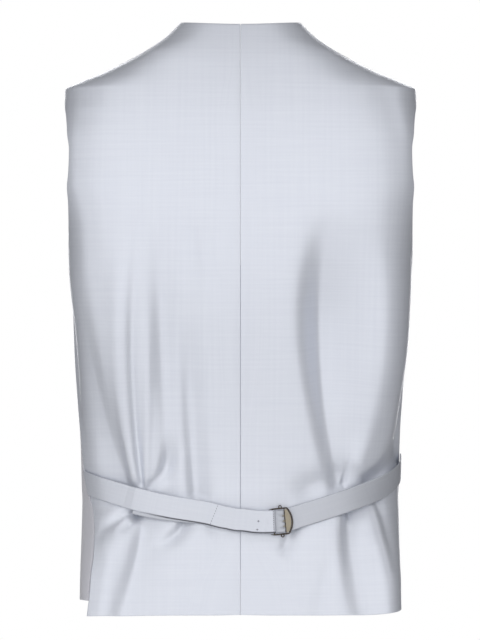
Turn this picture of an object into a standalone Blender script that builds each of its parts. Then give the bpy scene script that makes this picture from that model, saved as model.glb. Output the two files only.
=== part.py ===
"""A man's suit waistcoat in its worn, hollow shape: two fronts, a two-piece back, five buttons,
and a back cinch of two straps drawn together by a toothed buckle.

The frame is in metres with +Z up. The garment faces -Y, and the wearer's left is +X. The origin is
the middle of the neck opening, level with the neck ends of the shoulder seams, where the wearer's
shoulders carry the cloth.

Every panel is a wall laid on one torso form. The form is a stack of superellipse sections, and a
point on it is body(angle, z): the angle is 90 degrees at the centre back, 0 at the side and -90 at
the centre front. The creases are then pushed in along the form's normal.
"""

import math

import bmesh
import bpy
import numpy as np
from mathutils import Matrix, Vector

MM = 0.001

# The tables hold millimetres and their first row names the columns.
# The sections are superellipses: a power of 2 is an ellipse, and more is boxier. The back is flatter
# over the shoulder blades and at the hem than at the waist.
FRONT_POWER = 2.45
FORM = (
    ("height", "half_width", "back", "front", "back_power"),
    (12, 50, 50, 28, 3.6),
    (0, 60, 57.5, 36, 3.7),
    (-14, 73.8, 66.5, 46, 3.7),
    (-26, 90.3, 74, 54.5, 3.8),
    (-38, 110.9, 81, 62, 3.9),
    (-50, 135.3, 87, 68.5, 3.9),
    (-62, 163.1, 92.5, 75, 4.2),
    (-68, 173.1, 95.1, 78.3, 4.4),
    (-75, 173.2, 98, 82, 4.6),
    (-92, 174.9, 104, 90.5, 5),
    (-120, 179.1, 111, 101, 5.2),
    (-160, 179.6, 117.5, 113.5, 5.2),
    (-180, 175.2, 119.2, 118.1, 5.2),
    (-200, 171, 120, 122, 5.2),
    (-215, 169.6, 119.9, 124.6, 5.1),
    (-235, 168.9, 119.5, 127.5, 5),
    (-258, 168.2, 118, 129.5, 5),
    (-295, 166.2, 113.5, 129, 5),
    (-335, 164.2, 107, 126, 4.8),
    (-375, 161, 100.5, 122, 4.1),
    (-415, 158.6, 95.5, 118.5, 3.3),
    (-455, 157.8, 93, 115.5, 2.9),
    (-475, 157, 93, 114.5, 3.1),
    (-495, 157, 94.3, 114, 3.9),
    (-515, 156.8, 96.7, 114, 5.6),
    (-555, 156.8, 103, 115.5, 9.5),
    (-600, 157.5, 110, 118, 10.5),
    (-650, 158, 116, 121, 10.5),
)

# Lengths and edges, in millimetres
NECK_BACK = -5.0  # height of the neck edge at the centre back
SHOULDER_TIP = -67.0
UNDERARM = -258.0
BACK_HEM = -578.0
BACK_HEM_SIDE = {"left": -579.5, "right": -577.5}
FRONT_HEM_SIDE = -565.0
SEAM_GAP = 0.3
VENT_GAP = 1.4  # how far the side seams open below the cinch
VENT_TOP = -462.0
VENT_OPEN = -480.0  # fully open from here down
BACK_WALL = 1.6
FRONT_WALL = 2.2
BUTTON_OVERLAP = 14.0  # how far each front passes the centre front
PLY_GAP = 0.4  # between the two fronts where they overlap, and between the plies of the cinch
LAP_TOP = -235.0  # the fronts overlap below this height

# How far each armhole's edge lies from the widest line, behind it and in front of it
ARMHOLE = (
    ("height", "back", "front"),
    (-67, 0, 0),
    (-68, 9, 8),
    (-71, 22, 17),
    (-76, 37, 27),
    (-83, 53, 37),
    (-94, 70, 48),
    (-110, 83, 59),
    (-130, 91, 67),
    (-155, 93.5, 73),
    (-180, 89, 74),
    (-200, 79, 70),
    (-215, 69, 63),
    (-229, 57, 53),
    (-240, 45, 42),
    (-249, 32, 30),
    (-254, 21, 20),
    (-257, 10, 10),
    (-258, 0, 0),
)
# The front edge of a front: the V of the neck, the buttoned edge, and the cut-away to the point
FRONT_EDGE = (
    ("height", "across"),
    (0, 60),
    (-30, 56),
    (-80, 46.5),
    (-140, 32),
    (-200, 14),
    (-250, -5),
    (-272, -13),
    (-290, -14),
    (-515, -14),
    (-535, -10),
    (-560, 6),
    (-585, 24),
    (-599, 33),
)
# The side seam lies further back on the wearer's left, because the cinch pulls the garment round
SIDE_SEAM = {
    "left": (
        ("height", "behind"),
        (-258, 0),
        (-330, 14),
        (-400, 32),
        (-445, 39),
        (-457, 44),
        (-468, 51.5),
        (-485, 63.5),
        (-495, 70.6),
        (-515, 83),
        (-530, 89.4),
        (-555, 96.2),
        (-585, 100.4),
    ),
    "right": (
        ("height", "behind"),
        (-258, 0),
        (-330, 0),
        (-400, 0),
        (-455, 1),
        (-520, 2),
        (-585, 3),
    ),
}

# Creases of the back. Each follows a curve from start through middle to end, given as the distance
# across from the centre back, to the wearer's left, and the height. Its width on the wearer's left
# and right of the curve grows from the first to the second value, and its depth passes through
# three values. A negative depth is a ridge. A power of 2 makes it soft, and 1 sharp.
CREASES = (
    (
        "name",
        "x0",
        "z0",
        "x1",
        "z1",
        "x2",
        "z2",
        "left0",
        "left1",
        "right0",
        "right1",
        "deep0",
        "deep1",
        "deep2",
        "power",
    ),
    ("left bulge", 108, -194, 117, -314, 104.5, -443, 14, 6, 16, 6, 0, -4, -3, 2),
    ("left flank", 154.5, -261.5, 152.5, -338, 127.5, -450.5, 30, 22, 20, 10, 0, 5, 5, 2),
    ("left inner", 80.5, -175, 75.5, -319, 69, -441, 10, 8, 16, 12, 0.4, 7, 7, 1.8),
    ("left middle", 51.5, -276, 48.5, -381.5, 44.5, -463, 7.5, 7, 14, 10, 0, 5.5, 7, 1.7),
    ("left veil", 41, -184.5, 33, -237.5, 20.5, -300, 7, 7, 8, 8, 0.3, 1.6, 0, 2),
    ("right blade", -95, -170, -78.5, -304.5, -97.5, -450.5, 20, 10, 60, 34, 0, 23, 7, 2),
    ("right bulge", -140, -213.5, -144, -309.5, -117, -431.5, 24, 8, 26, 8, 0, -3, -3, 2),
    ("right flank", -176.5, -304.5, -169, -396, -130.5, -450.5, 20, 8, 14, 7, 0, 7, 7, 2),
    ("right eave", -45.5, -470, -69, -457.5, -95.5, -447, 18, 14, 16, 10, 2, 6, 4, 2),
    ("left skirt", 98.5, -475.5, 99.5, -516, 109, -575.5, 9, 13, 6, 8, 8, 8, 6, 1.3),
    ("left swell", 123.5, -492, 129.5, -525.5, 133, -573.5, 12, 12, 12, 12, -1, -2, -2, 2),
    ("left eave", 103.5, -478.5, 120.5, -471.5, 141, -464, 16, 14, 7, 7, 2, 2.4, 1.5, 2),
    ("left drag", 56.5, -486, 62, -500.5, 85, -512, 6, 6, 6, 6, 4.5, 3.5, 0.5, 1.4),
    ("right drag", -49.5, -493, -44, -512, -37, -527.5, 6, 6, 6, 6, 3, 3.6, 0, 1.4),
    ("right skirt", -102.5, -471.5, -101.5, -511, -109, -575.5, 14, 18, 6, 13, 10, 11, 9, 1.25),
    ("right vane", -91, -514, -81.5, -543, -74.5, -575.5, 6, 6, 6, 6, 0, 1.8, 2.8, 1.6),
)
# Soft drag lines of the fronts, measured across from the centre front
FRONT_CREASES = (
    (
        "name",
        "x0",
        "z0",
        "x1",
        "z1",
        "x2",
        "z2",
        "left0",
        "left1",
        "right0",
        "right1",
        "deep0",
        "deep1",
        "deep2",
        "power",
    ),
    ("button drag", 22, -300, 62, -315, 112, -348, 7, 13, 7, 13, 2.5, 1.8, 0.8, 2),
    ("waist drag", 20, -452, 60, -448, 118, -436, 7, 12, 7, 12, 2.2, 1.6, 0.8, 2),
    ("armhole drape", 112, -205, 102, -262, 98, -330, 10, 14, 10, 14, 2.5, 1.8, 0.8, 2),
    ("hip drape", 96, -480, 100, -520, 106, -566, 9, 14, 9, 14, 1, 2, 3, 2),
)
SEAM_FADE = 16.0  # creases die out this near a side or shoulder seam

# The cinch. Its centre line is given as the girth, round the form from the centre back to the
# wearer's left, and the height.
STRAP_LINE = (
    ("girth", "height"),
    (-230, -434),
    (-200, -440),
    (-172, -447.5),
    (-140, -458),
    (-100, -470.5),
    (-57, -483.5),
    (-39, -488.5),
    (-22, -489),
    (16, -484.5),
    (32, -480.5),
    (69, -474.5),
    (106, -466.5),
    (133, -460),
    (172, -452.5),
    (200, -448),
)
STRAP_WIDTH = 22.0
STRAP_PLY = 1.2
STRAP_LIFT = 0.25  # of the lowest ply's inner face over the form
STRAP_PRESS = 0.9  # how far the cinch presses the back in
TAIL_END = 104.0  # girth where the right strap's tail ends, under the left strap
TAIL_DROP = 4.0  # how much lower the tail hangs there
TAIL_DROP_START = 15.0  # girth where it begins to hang lower
FOLD_END = 26.0  # girth where the left strap's turned-back end is stitched down
STRAP_START = {"left": -452.0, "right": -438.0}  # heights where the straps leave the side seams
SEAM_SHORT = {"left": 4.0, "right": 1.0}  # how far short of the seams they end
SEAM_LEAN = 8.0  # how much shorter the lower edge of the left strap is there, and the upper longer
LEAN_RUN = 24.0  # girth over which that lean fades
TAIL_SHORT = 1.0  # how far short of its end the tail's last ring lies
PLY_STEP = 8.0  # girth over which a ply climbs over the end of one below it
BAR_RUN = 9.0  # the left strap's upper ply starts to climb to the bar this far before it
CLIMB_PLACES = (6.0, 3.0)  # girths before the bar along that climb
CLIMB_LIFTS = (0.8, 1.5)  # and how far it has risen there
BAR_LEAVE = 4.0  # the turned-back ply lies flat again this far behind the bar
NEAR_BUCKLE = 20.0  # the right strap's rings are closer together this near the buckle
SPARSE_STEP = 7.0  # girth between its rings elsewhere

# The buckle, centred on the cinch
BUCKLE_GIRTH = -39.0
WIRE = 1.5  # diameter
BUCKLE_HALF_HEIGHT = 12.4
BAR_REACH = 7.4  # from the buckle's centre to the bar that the left strap turns round
ARM_REACH = 6.6  # where the arms end and the bow begins, on the other side
BOW_REACH = 10.9
CORNER = 1.2
EYE_PLACE = -0.3
EYE_RING = 1.35
EYE_WIRE = 1.1
PLATE_THICK = 0.9
PLATE_CHORD = 4.4
TOOTH = 2.4
TOOTH_PLACES = (-5.0, 0.0, 5.0)

# The buttons
BUTTON_HEIGHTS = (-286.0, -342.0, -398.0, -454.0, -508.0)
BUTTON_SIDES = 18
BUTTON_PROFILE = (
    ("radius", "out"),
    (0, 0.4),
    (4.6, 0.4),
    (6.6, 0.9),
    (7.6, 1.9),
    (7.1, 3.0),
    (5.6, 3.2),
    (4.7, 2.5),
    (0, 2.3),
)

# Mesh fineness. The rows of the panels climb from the hem in stretches: each reaches the heights
# given at a panel's centre and at its side edge, in its count of rows. Front and back share the
# edge heights, so that their seams fit, and the back's rows run along the cinch.
BACK_COLUMNS = 24
FRONT_COLUMNS = 15
ROWS = (
    ("back", "front", "edge", "rows"),
    (-505, -505, -468, 6),
    (-462, -462, -415, 4),
    (-395, -395, -355, 6),
    (UNDERARM, UNDERARM, UNDERARM, 7),
    (SHOULDER_TIP, SHOULDER_TIP, SHOULDER_TIP, 13),
    (NECK_BACK, 0, 0, 6),
)
FINE = 161  # samples used to measure along a section
CURVE_POINTS = 97  # samples along a crease


def column(table, name):
    """One named column of a table, as an array."""
    at = table[0].index(name)
    return np.array([row[at] for row in table[1:]], float)


def through(table, name, at, by="height"):
    """The named column at the given heights: a cubic through the rows that never overshoots them."""
    order = np.argsort(column(table, by))
    keys, values = column(table, by)[order], column(table, name)[order]
    step = np.diff(keys)
    slope = np.diff(values) / step
    before, after = slope[:-1], slope[1:]
    both = before * after > 0
    tangent = np.concatenate([slope[:1], np.zeros(len(keys) - 2), slope[-1:]])
    tangent[1:-1][both] = 2 * before[both] * after[both] / (before + after)[both]
    at = np.clip(np.asarray(at, float), keys[0], keys[-1])
    k = np.clip(np.searchsorted(keys, at) - 1, 0, len(keys) - 2)
    t = (at - keys[k]) / step[k]
    return (
        values[k] * (1 + 2 * t) * (1 - t) ** 2
        + step[k] * tangent[k] * t * (1 - t) ** 2
        + values[k + 1] * t * t * (3 - 2 * t)
        + step[k] * tangent[k + 1] * t * t * (t - 1)
    )


def signed_power(value, power):
    return np.sign(value) * np.abs(value) ** power


def depth_at(z, behind):
    """Half depth of the form at height z, behind its widest line or in front of it."""
    return np.where(behind, through(FORM, "back", z), through(FORM, "front", z))


def power_at(z, behind):
    """The power of the form's section at height z, behind its widest line or in front of it."""
    return np.where(behind, through(FORM, "back_power", z), FRONT_POWER)


def body(angle, z):
    """The point of the form at an angle and height, in millimetres."""
    angle, z = np.broadcast_arrays(np.asarray(angle, float), np.asarray(z, float))
    across, along = np.cos(angle), np.sin(angle)
    share = 2 / power_at(z, along >= 0)
    x = through(FORM, "half_width", z) * signed_power(across, share)
    y = depth_at(z, along >= 0) * signed_power(along, share)
    return np.stack([x, y, z], axis=-1)


def fullness(x, y, z):
    """1 on the form, less inside it, more outside."""
    width = np.abs(x / through(FORM, "half_width", z))
    depth = np.abs(y / depth_at(z, y >= 0))
    power = power_at(z, y >= 0)
    return width**power + depth**power


def body_normal(point):
    """The outward normal of the form at a point on it: the gradient of its fullness."""
    x, y, z = point[..., 0], point[..., 1], point[..., 2]
    half_width, depth = through(FORM, "half_width", z), depth_at(z, y >= 0)
    power, rise = power_at(z, y >= 0), 0.5
    gradient = np.stack(
        [
            power * signed_power(x / half_width, power - 1) / half_width,
            power * signed_power(y / depth, power - 1) / depth,
            (fullness(x, y, z + rise) - fullness(x, y, z - rise)) / (2 * rise),
        ],
        axis=-1,
    )
    return gradient / np.linalg.norm(gradient, axis=-1, keepdims=True)


def angle_across(x, z, facing):
    """The form's angle where it is x across, on the back (facing 1) or on the front (facing -1)."""
    share = signed_power(x / through(FORM, "half_width", z), power_at(z, facing > 0) / 2)
    return facing * np.arccos(np.clip(share, -1, 1))


def angle_behind(y, z):
    """The form's angle at the side where it is y behind its widest line."""
    behind = np.asarray(y) >= 0
    share = signed_power(y / depth_at(z, behind), power_at(z, behind) / 2)
    return np.arcsin(np.clip(share, -1, 1))


def smooth(value, low, high):
    """0 below low, 1 above high, with a smooth rise between."""
    t = np.clip((value - low) / (high - low), 0, 1)
    return t * t * (3 - 2 * t)


def crease_depth(x, z, creases):
    """How far the creases push each point in. At a distance s from its curve a crease keeps
    exp(-(s / width) ** power) of its depth."""
    total = np.zeros(np.shape(x))
    for row in creases[1:]:
        crease = dict(zip(creases[0], row))
        start = np.array([crease["x0"], crease["z0"]], float)
        middle = np.array([crease["x1"], crease["z1"]], float)
        end = np.array([crease["x2"], crease["z2"]], float)
        steer = 2 * middle - (start + end) / 2
        t = np.linspace(0, 1, CURVE_POINTS)[:, None]
        line = start * (1 - t) ** 2 + steer * 2 * t * (1 - t) + end * t * t
        run = np.gradient(line, axis=0)
        run /= np.linalg.norm(run, axis=1, keepdims=True)
        off_x, off_z = x[..., None] - line[:, 0], z[..., None] - line[:, 1]
        away = np.hypot(off_x, off_z)
        nearest = away.argmin(axis=-1)[..., None]
        distance = np.take_along_axis(away, nearest, axis=-1)[..., 0]
        turned = np.take_along_axis(run[:, 0] * off_z - run[:, 1] * off_x, nearest, axis=-1)[..., 0]
        to_left = 0.5 + 0.5 * turned / np.maximum(distance, 1e-9)
        share = nearest[..., 0] / (CURVE_POINTS - 1)
        left = crease["left0"] + (crease["left1"] - crease["left0"]) * share
        right = crease["right0"] + (crease["right1"] - crease["right0"]) * share
        deep = crease["deep0"] + (crease["deep1"] - crease["deep0"]) * smooth(share, 0, 0.5)
        deep += (crease["deep2"] - crease["deep1"]) * smooth(share, 0.5, 1)
        width = right + (left - right) * to_left
        total += deep * np.exp(-((distance / width) ** crease["power"]))
    return total


def strap_height(x):
    """Height of the cinch's centre line where it is x across the back."""
    return through(STRAP_LINE, "height", x, by="girth")


def pressed(x, z, depth):
    """The cinch flattens what swells under it, and presses the cloth in a little."""
    under = np.exp(-(((z - strap_height(x)) / (0.8 * STRAP_WIDTH)) ** 4))
    return np.where(depth < 0, depth * (1 - under), depth) + STRAP_PRESS * under


def row_heights(name, hem):
    """The height of every row of a panel, at its centre or at its edge. Along an armhole the edge's
    rows follow a half cosine, so that they lie close together where the edge turns."""
    values = [[hem]]
    start = hem
    for end, count in zip(column(ROWS, name), column(ROWS, "rows").astype(int)):
        t = np.arange(1, count + 1) / count
        if name == "edge" and start == UNDERARM:
            t = (1 - np.cos(math.pi * t)) / 2
        values.append(start + (end - start) * t)
        start = end
    return np.concatenate(values)


def laid_grid(centre_x, centre_z, edge_y, edge_z, facing, columns):
    """Points on the form between a panel's centre edge and its side edge, a row for each pair of
    edge points, evenly spaced along each row."""
    share = np.linspace(0, 1, columns + 1)
    rows = []
    for x, z0, y, z1 in zip(centre_x, centre_z, edge_y, edge_z):
        first, last = angle_across(x, z0, facing), angle_behind(y, z1)
        t = np.linspace(0, 1, FINE)
        line = body(first + (last - first) * t, z0 + (z1 - z0) * t)
        walked = np.concatenate([[0], np.cumsum(np.linalg.norm(np.diff(line, axis=0), axis=1))])
        t = np.interp(share * walked[-1], walked, t)
        rows.append(body(first + (last - first) * t, z0 + (z1 - z0) * t))
    return np.stack(rows)


def seam_fade(points, edge_y):
    """0 at the side or shoulder edge of a row, rising to 1 away from it."""
    behind = np.abs(points[..., 1] - edge_y[:, None])
    across = np.abs(points[..., 0] - points[:, -1:, 0])
    return smooth(behind + 0.4 * across, 0, SEAM_FADE)


def object_of(name, mesh, material):
    mesh.materials.append(material)
    mesh.shade_smooth()
    mesh.set_sharp_from_angle(angle=math.radians(40))
    made = bpy.data.objects.new(name, mesh)
    bpy.context.scene.collection.objects.link(made)
    return made


def mesh_of(name, points, faces):
    """A closed mesh from points in millimetres, its faces turned outwards."""
    mesh = bpy.data.meshes.new(name)
    mesh.from_pydata((np.asarray(points) * MM).tolist(), [], faces)
    shape = bmesh.new()
    shape.from_mesh(mesh)
    bmesh.ops.recalc_face_normals(shape, faces=shape.faces)
    shape.to_mesh(mesh)
    shape.free()
    return mesh


def wall(name, outer, inner, material):
    """A closed wall between an outer and an inner grid of points."""
    rows, columns = outer.shape[:2]
    points = np.concatenate([outer.reshape(-1, 3), inner.reshape(-1, 3)])
    under = rows * columns

    def at(row, place, layer):
        return row * columns + place + layer * under

    faces = []
    for layer in (0, 1):
        faces += [
            (at(r, c, layer), at(r, c + 1, layer), at(r + 1, c + 1, layer), at(r + 1, c, layer))
            for r in range(rows - 1)
            for c in range(columns - 1)
        ]
    around = [(0, c) for c in range(columns)] + [(r, columns - 1) for r in range(1, rows)]
    around += [(rows - 1, c) for c in range(columns - 2, -1, -1)]
    around += [(r, 0) for r in range(rows - 2, 0, -1)]
    for here, following in zip(around, around[1:] + around[:1]):
        faces.append((at(*here, 0), at(*following, 0), at(*following, 1), at(*here, 1)))
    return object_of(name, mesh_of(name, points, faces), material)


def mirrored(points, side):
    """The points on the wearer's left, or carried over to the right."""
    return points * np.array([1 if side == "left" else -1, 1, 1])


def edge_line(side, z, armhole):
    """Where a panel ends at the side: at the seam, the armhole or the shoulder ridge."""
    seam = through(SIDE_SEAM[side], "behind", z)
    seam = np.where(z >= SHOULDER_TIP, 0, seam)
    return np.where((z > UNDERARM) & (z < SHOULDER_TIP), armhole, seam)


def back_panel(side, material):
    """One half of the back, from the centre seam to the side seam, armhole and shoulder seam."""
    centre_z = row_heights("back", BACK_HEM)
    edge_z = row_heights("edge", BACK_HEM_SIDE[side])
    edge_y = edge_line(side, edge_z, through(ARMHOLE, "back", edge_z)) + SEAM_GAP / 2
    edge_y += VENT_GAP * (1 - smooth(edge_z, VENT_OPEN, VENT_TOP))
    grid = laid_grid(np.full(len(edge_z), SEAM_GAP / 2), centre_z, edge_y, edge_z, 1, BACK_COLUMNS)
    normal = mirrored(body_normal(grid), side)
    fade = seam_fade(grid, edge_y)
    grid = mirrored(grid, side)
    x, z = grid[..., 0], grid[..., 2]
    depth = pressed(x, z, crease_depth(x, z, CREASES) * fade)
    outer = grid - normal * depth[..., None]
    return wall(f"back_{side}", outer, outer - normal * BACK_WALL, material)


def front_panel(side, material):
    """One front, from its V neck and buttoned edge to the side seam, armhole and shoulder seam.
    The wearer's right front passes under the left one at the buttons."""
    centre_z = row_heights("front", column(FRONT_EDGE, "height")[-1])
    edge_z = row_heights("edge", FRONT_HEM_SIDE)
    edge_y = edge_line(side, edge_z, -through(ARMHOLE, "front", edge_z)) - SEAM_GAP / 2
    centre_x = through(FRONT_EDGE, "across", centre_z)
    grid = laid_grid(centre_x, centre_z, edge_y, edge_z, -1, FRONT_COLUMNS)
    x, z = grid[..., 0], grid[..., 2]
    lapped = 1 - smooth(x, 2 * BUTTON_OVERLAP, 3 * BUTTON_OVERLAP)
    lapped *= 1 - smooth(z, LAP_TOP, LAP_TOP + 30)
    depth = crease_depth(x, z, FRONT_CREASES) * seam_fade(grid, edge_y) * (1 - lapped)
    if side == "right":
        depth += (FRONT_WALL + PLY_GAP) * lapped
    normal = mirrored(body_normal(grid), side)
    outer = mirrored(grid, side) - normal * depth[..., None]
    return wall(f"front_{side}", outer, outer - normal * FRONT_WALL, material)


def girth_points(girth, z):
    """The points of the form at distances round it from the centre back, each at its own height."""
    turned = np.linspace(0, math.radians(100), FINE)
    points = []
    for distance, height in zip(girth, z):
        line = body(math.pi / 2 - turned, np.full(FINE, height))
        walked = np.concatenate([[0], np.cumsum(np.linalg.norm(np.diff(line, axis=0), axis=1))])
        angle = math.pi / 2 - np.interp(abs(distance), walked, turned)
        points.append(body(angle, height) * np.array([math.copysign(1, distance), 1, 1]))
    return np.array(points)


def cinch_frame(girth, drop=0.0):
    """Centre, direction, upward and outward vectors of the cinch at each girth."""
    girth = np.asarray(girth, float)
    step = 0.5
    places = [
        girth_points(g, strap_height(g) - drop) for g in (girth - step, girth, girth + step)
    ]
    along = places[2] - places[0]
    along /= np.linalg.norm(along, axis=1, keepdims=True)
    out = body_normal(places[1])
    out -= along * (out * along).sum(axis=1, keepdims=True)
    out /= np.linalg.norm(out, axis=1, keepdims=True)
    return places[1], along, np.cross(along, out) * -1, out


def ribbon(name, girth, lift, material, drop=0.0, lean=0.0):
    """A flat strap whose middle runs at the given girths and lifts over the form. Where the girth
    turns back, the strap is folded over. Its first end can lean along a sloping seam."""
    centre, along, up, out = cinch_frame(girth, drop)
    middle = centre + out * np.asarray(lift, float)[:, None]
    run = np.gradient(middle, axis=0)
    face = np.cross(up, run)
    face /= np.linalg.norm(face, axis=1, keepdims=True)
    half, thick = STRAP_WIDTH / 2, STRAP_PLY / 2
    corners = ((-half, -thick), (half, -thick), (half, thick), (-half, thick))
    lean = lean * np.clip(1 - np.abs(girth - girth[0]) / LEAN_RUN, 0, 1)
    slant = along * lean[:, None] / half
    rings = np.stack([middle + (up - slant) * a + face * b for a, b in corners], axis=1)
    count = len(rings)
    faces = [
        (4 * i + k, 4 * i + (k + 1) % 4, 4 * i + 4 + (k + 1) % 4, 4 * i + 4 + k)
        for i in range(count - 1)
        for k in range(4)
    ]
    faces += [(3, 2, 1, 0), tuple(4 * (count - 1) + k for k in range(4))]
    return object_of(name, mesh_of(name, rings.reshape(-1, 3), faces), material)


# Lifts of the plies over the form, stacked from the lowest
TAIL_LIFT = STRAP_LIFT + STRAP_PLY / 2
UNDER_LIFT = TAIL_LIFT + STRAP_PLY + PLY_GAP
OVER_LIFT = UNDER_LIFT + STRAP_PLY + PLY_GAP
BAR_TURN = WIRE / 2 + SEAM_GAP + STRAP_PLY / 2
BAR_LIFT = UNDER_LIFT + BAR_TURN


def left_strap(material):
    """Runs from the left side seam to the buckle, turns round its bar and is stitched back."""
    bar = BUCKLE_GIRTH + BAR_REACH
    over_tail, over_fold = TAIL_END + PLY_STEP, FOLD_END + PLY_STEP
    run = np.concatenate(
        [
            np.linspace(girth_of_seam("left") - SEAM_SHORT["left"], over_tail, 9),
            np.linspace(TAIL_END, over_fold, 9),
            np.linspace(FOLD_END, bar + BAR_RUN, 7),
        ]
    )
    lift = np.interp(
        -run,
        [-over_tail, -TAIL_END, -over_fold, -FOLD_END, -bar - BAR_RUN],
        [TAIL_LIFT, UNDER_LIFT, UNDER_LIFT, OVER_LIFT, OVER_LIFT],
    )
    turn = np.radians(np.linspace(90, -90, 9))
    back = np.linspace(bar + BAR_LEAVE, FOLD_END, 5)
    girth = [run, bar + np.array(CLIMB_PLACES), bar - BAR_TURN * np.cos(turn), back]
    lift = [
        lift,
        OVER_LIFT + np.array(CLIMB_LIFTS),
        BAR_LIFT + BAR_TURN * np.sin(turn),
        np.full(len(back), UNDER_LIFT),
    ]
    girth, lift = np.concatenate(girth), np.concatenate(lift)
    return ribbon("strap_left", girth, lift, material, lean=SEAM_LEAN)


def right_strap(material):
    """Runs from the right side seam through the buckle, and its tail lies under the left strap."""
    start = SEAM_SHORT["right"] - girth_of_seam("right")
    girth = np.concatenate(
        [
            np.linspace(start, BUCKLE_GIRTH - NEAR_BUCKLE - SPARSE_STEP, 20),
            np.linspace(BUCKLE_GIRTH - NEAR_BUCKLE, BUCKLE_GIRTH + NEAR_BUCKLE, 11),
            np.linspace(BUCKLE_GIRTH + NEAR_BUCKLE + SPARSE_STEP, TAIL_END - TAIL_SHORT, 14),
        ]
    )
    lift = np.full(len(girth), TAIL_LIFT)
    drop = TAIL_DROP * smooth(girth, TAIL_DROP_START, TAIL_END)
    return ribbon("strap_right", girth, lift, material, drop)


def girth_of_seam(side):
    """Distance round the form from the centre back to the side seam, where the strap starts."""
    height = STRAP_START[side]
    last = angle_behind(through(SIDE_SEAM[side], "behind", height), height)
    line = body(np.linspace(math.pi / 2, float(last), FINE), np.full(FINE, height))
    return float(np.linalg.norm(np.diff(line, axis=0), axis=1).sum())


def arc(centre, radius, first, last, count):
    """Points of an arc in the plane, from one angle to another, in degrees."""
    turned = np.radians(np.linspace(first, last, count))
    return [(centre[0] + radius * math.cos(a), centre[1] + radius * math.sin(a)) for a in turned]


def bow_radius():
    """Radius of the bow, an arc over the chord between the two arms."""
    rise = BOW_REACH - ARM_REACH
    return (BUCKLE_HALF_HEIGHT**2 + rise**2) / (2 * rise)


def buckle_outline():
    """The wire's centre line, anticlockwise, in the buckle's plane."""
    bar, half = BAR_REACH, BUCKLE_HALF_HEIGHT
    radius = bow_radius()
    centre = (-BOW_REACH + radius, 0)
    spread = math.degrees(math.asin(half / radius))
    line = [(bar, 0)] + arc((bar - CORNER, half - CORNER), CORNER, 0, 90, 5)
    line += [(1.5, half)] + arc(centre, radius, 180 - spread, 180 + spread, 15) + [(1.5, -half)]
    return line + arc((bar - CORNER, -half + CORNER), CORNER, -90, 0, 5)


def wire_loop(name, line, material):
    """A closed loop of round wire along a line in the plane z = 0."""
    sides, count = 8, len(line)
    points = np.array([(x, y, 0.0) for x, y in line])
    run = np.roll(points, -1, axis=0) - np.roll(points, 1, axis=0)
    run /= np.linalg.norm(run, axis=1, keepdims=True)
    across = np.cross(run, [0.0, 0.0, 1.0])
    turned = 2 * math.pi * np.arange(sides) / sides
    rings = [
        points + (across * math.cos(a) + np.array([0, 0, math.sin(a)])) * WIRE / 2 for a in turned
    ]
    rings = np.stack(rings, axis=1)
    faces = [
        (
            sides * i + k,
            sides * i + (k + 1) % sides,
            sides * ((i + 1) % count) + (k + 1) % sides,
            sides * ((i + 1) % count) + k,
        )
        for i in range(count)
        for k in range(sides)
    ]
    return object_of(name, mesh_of(name, rings.reshape(-1, 3), faces), material)


def buckle_place():
    """Matrix that sets the buckle's plane, x along the cinch and z outwards, in metres."""
    centre, along, up, out = (v[0] for v in cinch_frame([BUCKLE_GIRTH]))
    place = Matrix.Identity(4)
    for at, vector in enumerate((along, np.cross(out, along), out)):
        place.col[at].xyz = Vector(vector)
    place.translation = Vector((centre + out * BAR_LIFT) * MM)
    return place


def buckle(material, plate_material):
    """The wire frame with its two hinge eyes, and the toothed plate that fills its bow."""
    frame = wire_loop("buckle_frame", buckle_outline(), material)
    place = buckle_place()
    frame.matrix_world = place
    for end in (1, -1):
        bpy.ops.mesh.primitive_torus_add(
            major_radius=EYE_RING * MM,
            minor_radius=EYE_WIRE / 2 * MM,
            major_segments=12,
            minor_segments=6,
        )
        eye = bpy.context.object
        eye.name = f"eye_{end}"
        spot = Vector((EYE_PLACE, end * (BUCKLE_HALF_HEIGHT + EYE_RING), 0)) * MM
        eye.matrix_world = place @ Matrix.Translation(spot)
        eye.hide_render = True
        eye.display_type = "WIRE"
        join = frame.modifiers.new("eye", "BOOLEAN")
        join.operation = "UNION"
        join.object = eye
    plate = toothed_plate(plate_material)
    plate.matrix_world = place
    return frame, plate


def toothed_plate(material):
    """A flat segment of a circle inside the bow, with teeth along its chord."""
    clear = WIRE / 2 + SEAM_GAP
    inside, half = bow_radius() - clear, BUCKLE_HALF_HEIGHT - clear
    spread = math.degrees(math.asin(half / inside))
    line = [(-PLATE_CHORD, half)]
    line += arc((-BOW_REACH + bow_radius(), 0), inside, 180 - spread, 180 + spread, 11)
    line += [(-PLATE_CHORD, -half)]
    for place in TOOTH_PLACES:
        line += [
            (-PLATE_CHORD, place - 1.2),
            (-PLATE_CHORD + TOOTH, place),
            (-PLATE_CHORD, place + 1.2),
        ]
    mesh = bpy.data.meshes.new("buckle_plate")
    shape = bmesh.new()
    corners = [shape.verts.new(Vector((x, y, -PLATE_THICK / 2)) * MM) for x, y in line]
    face = shape.faces.new(corners)
    grown = bmesh.ops.extrude_face_region(shape, geom=[face])
    lifted = [g for g in grown["geom"] if isinstance(g, bmesh.types.BMVert)]
    bmesh.ops.translate(shape, verts=lifted, vec=Vector((0, 0, PLATE_THICK)) * MM)
    bmesh.ops.recalc_face_normals(shape, faces=shape.faces)
    shape.to_mesh(mesh)
    shape.free()
    return object_of("buckle_plate", mesh, material)


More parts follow.
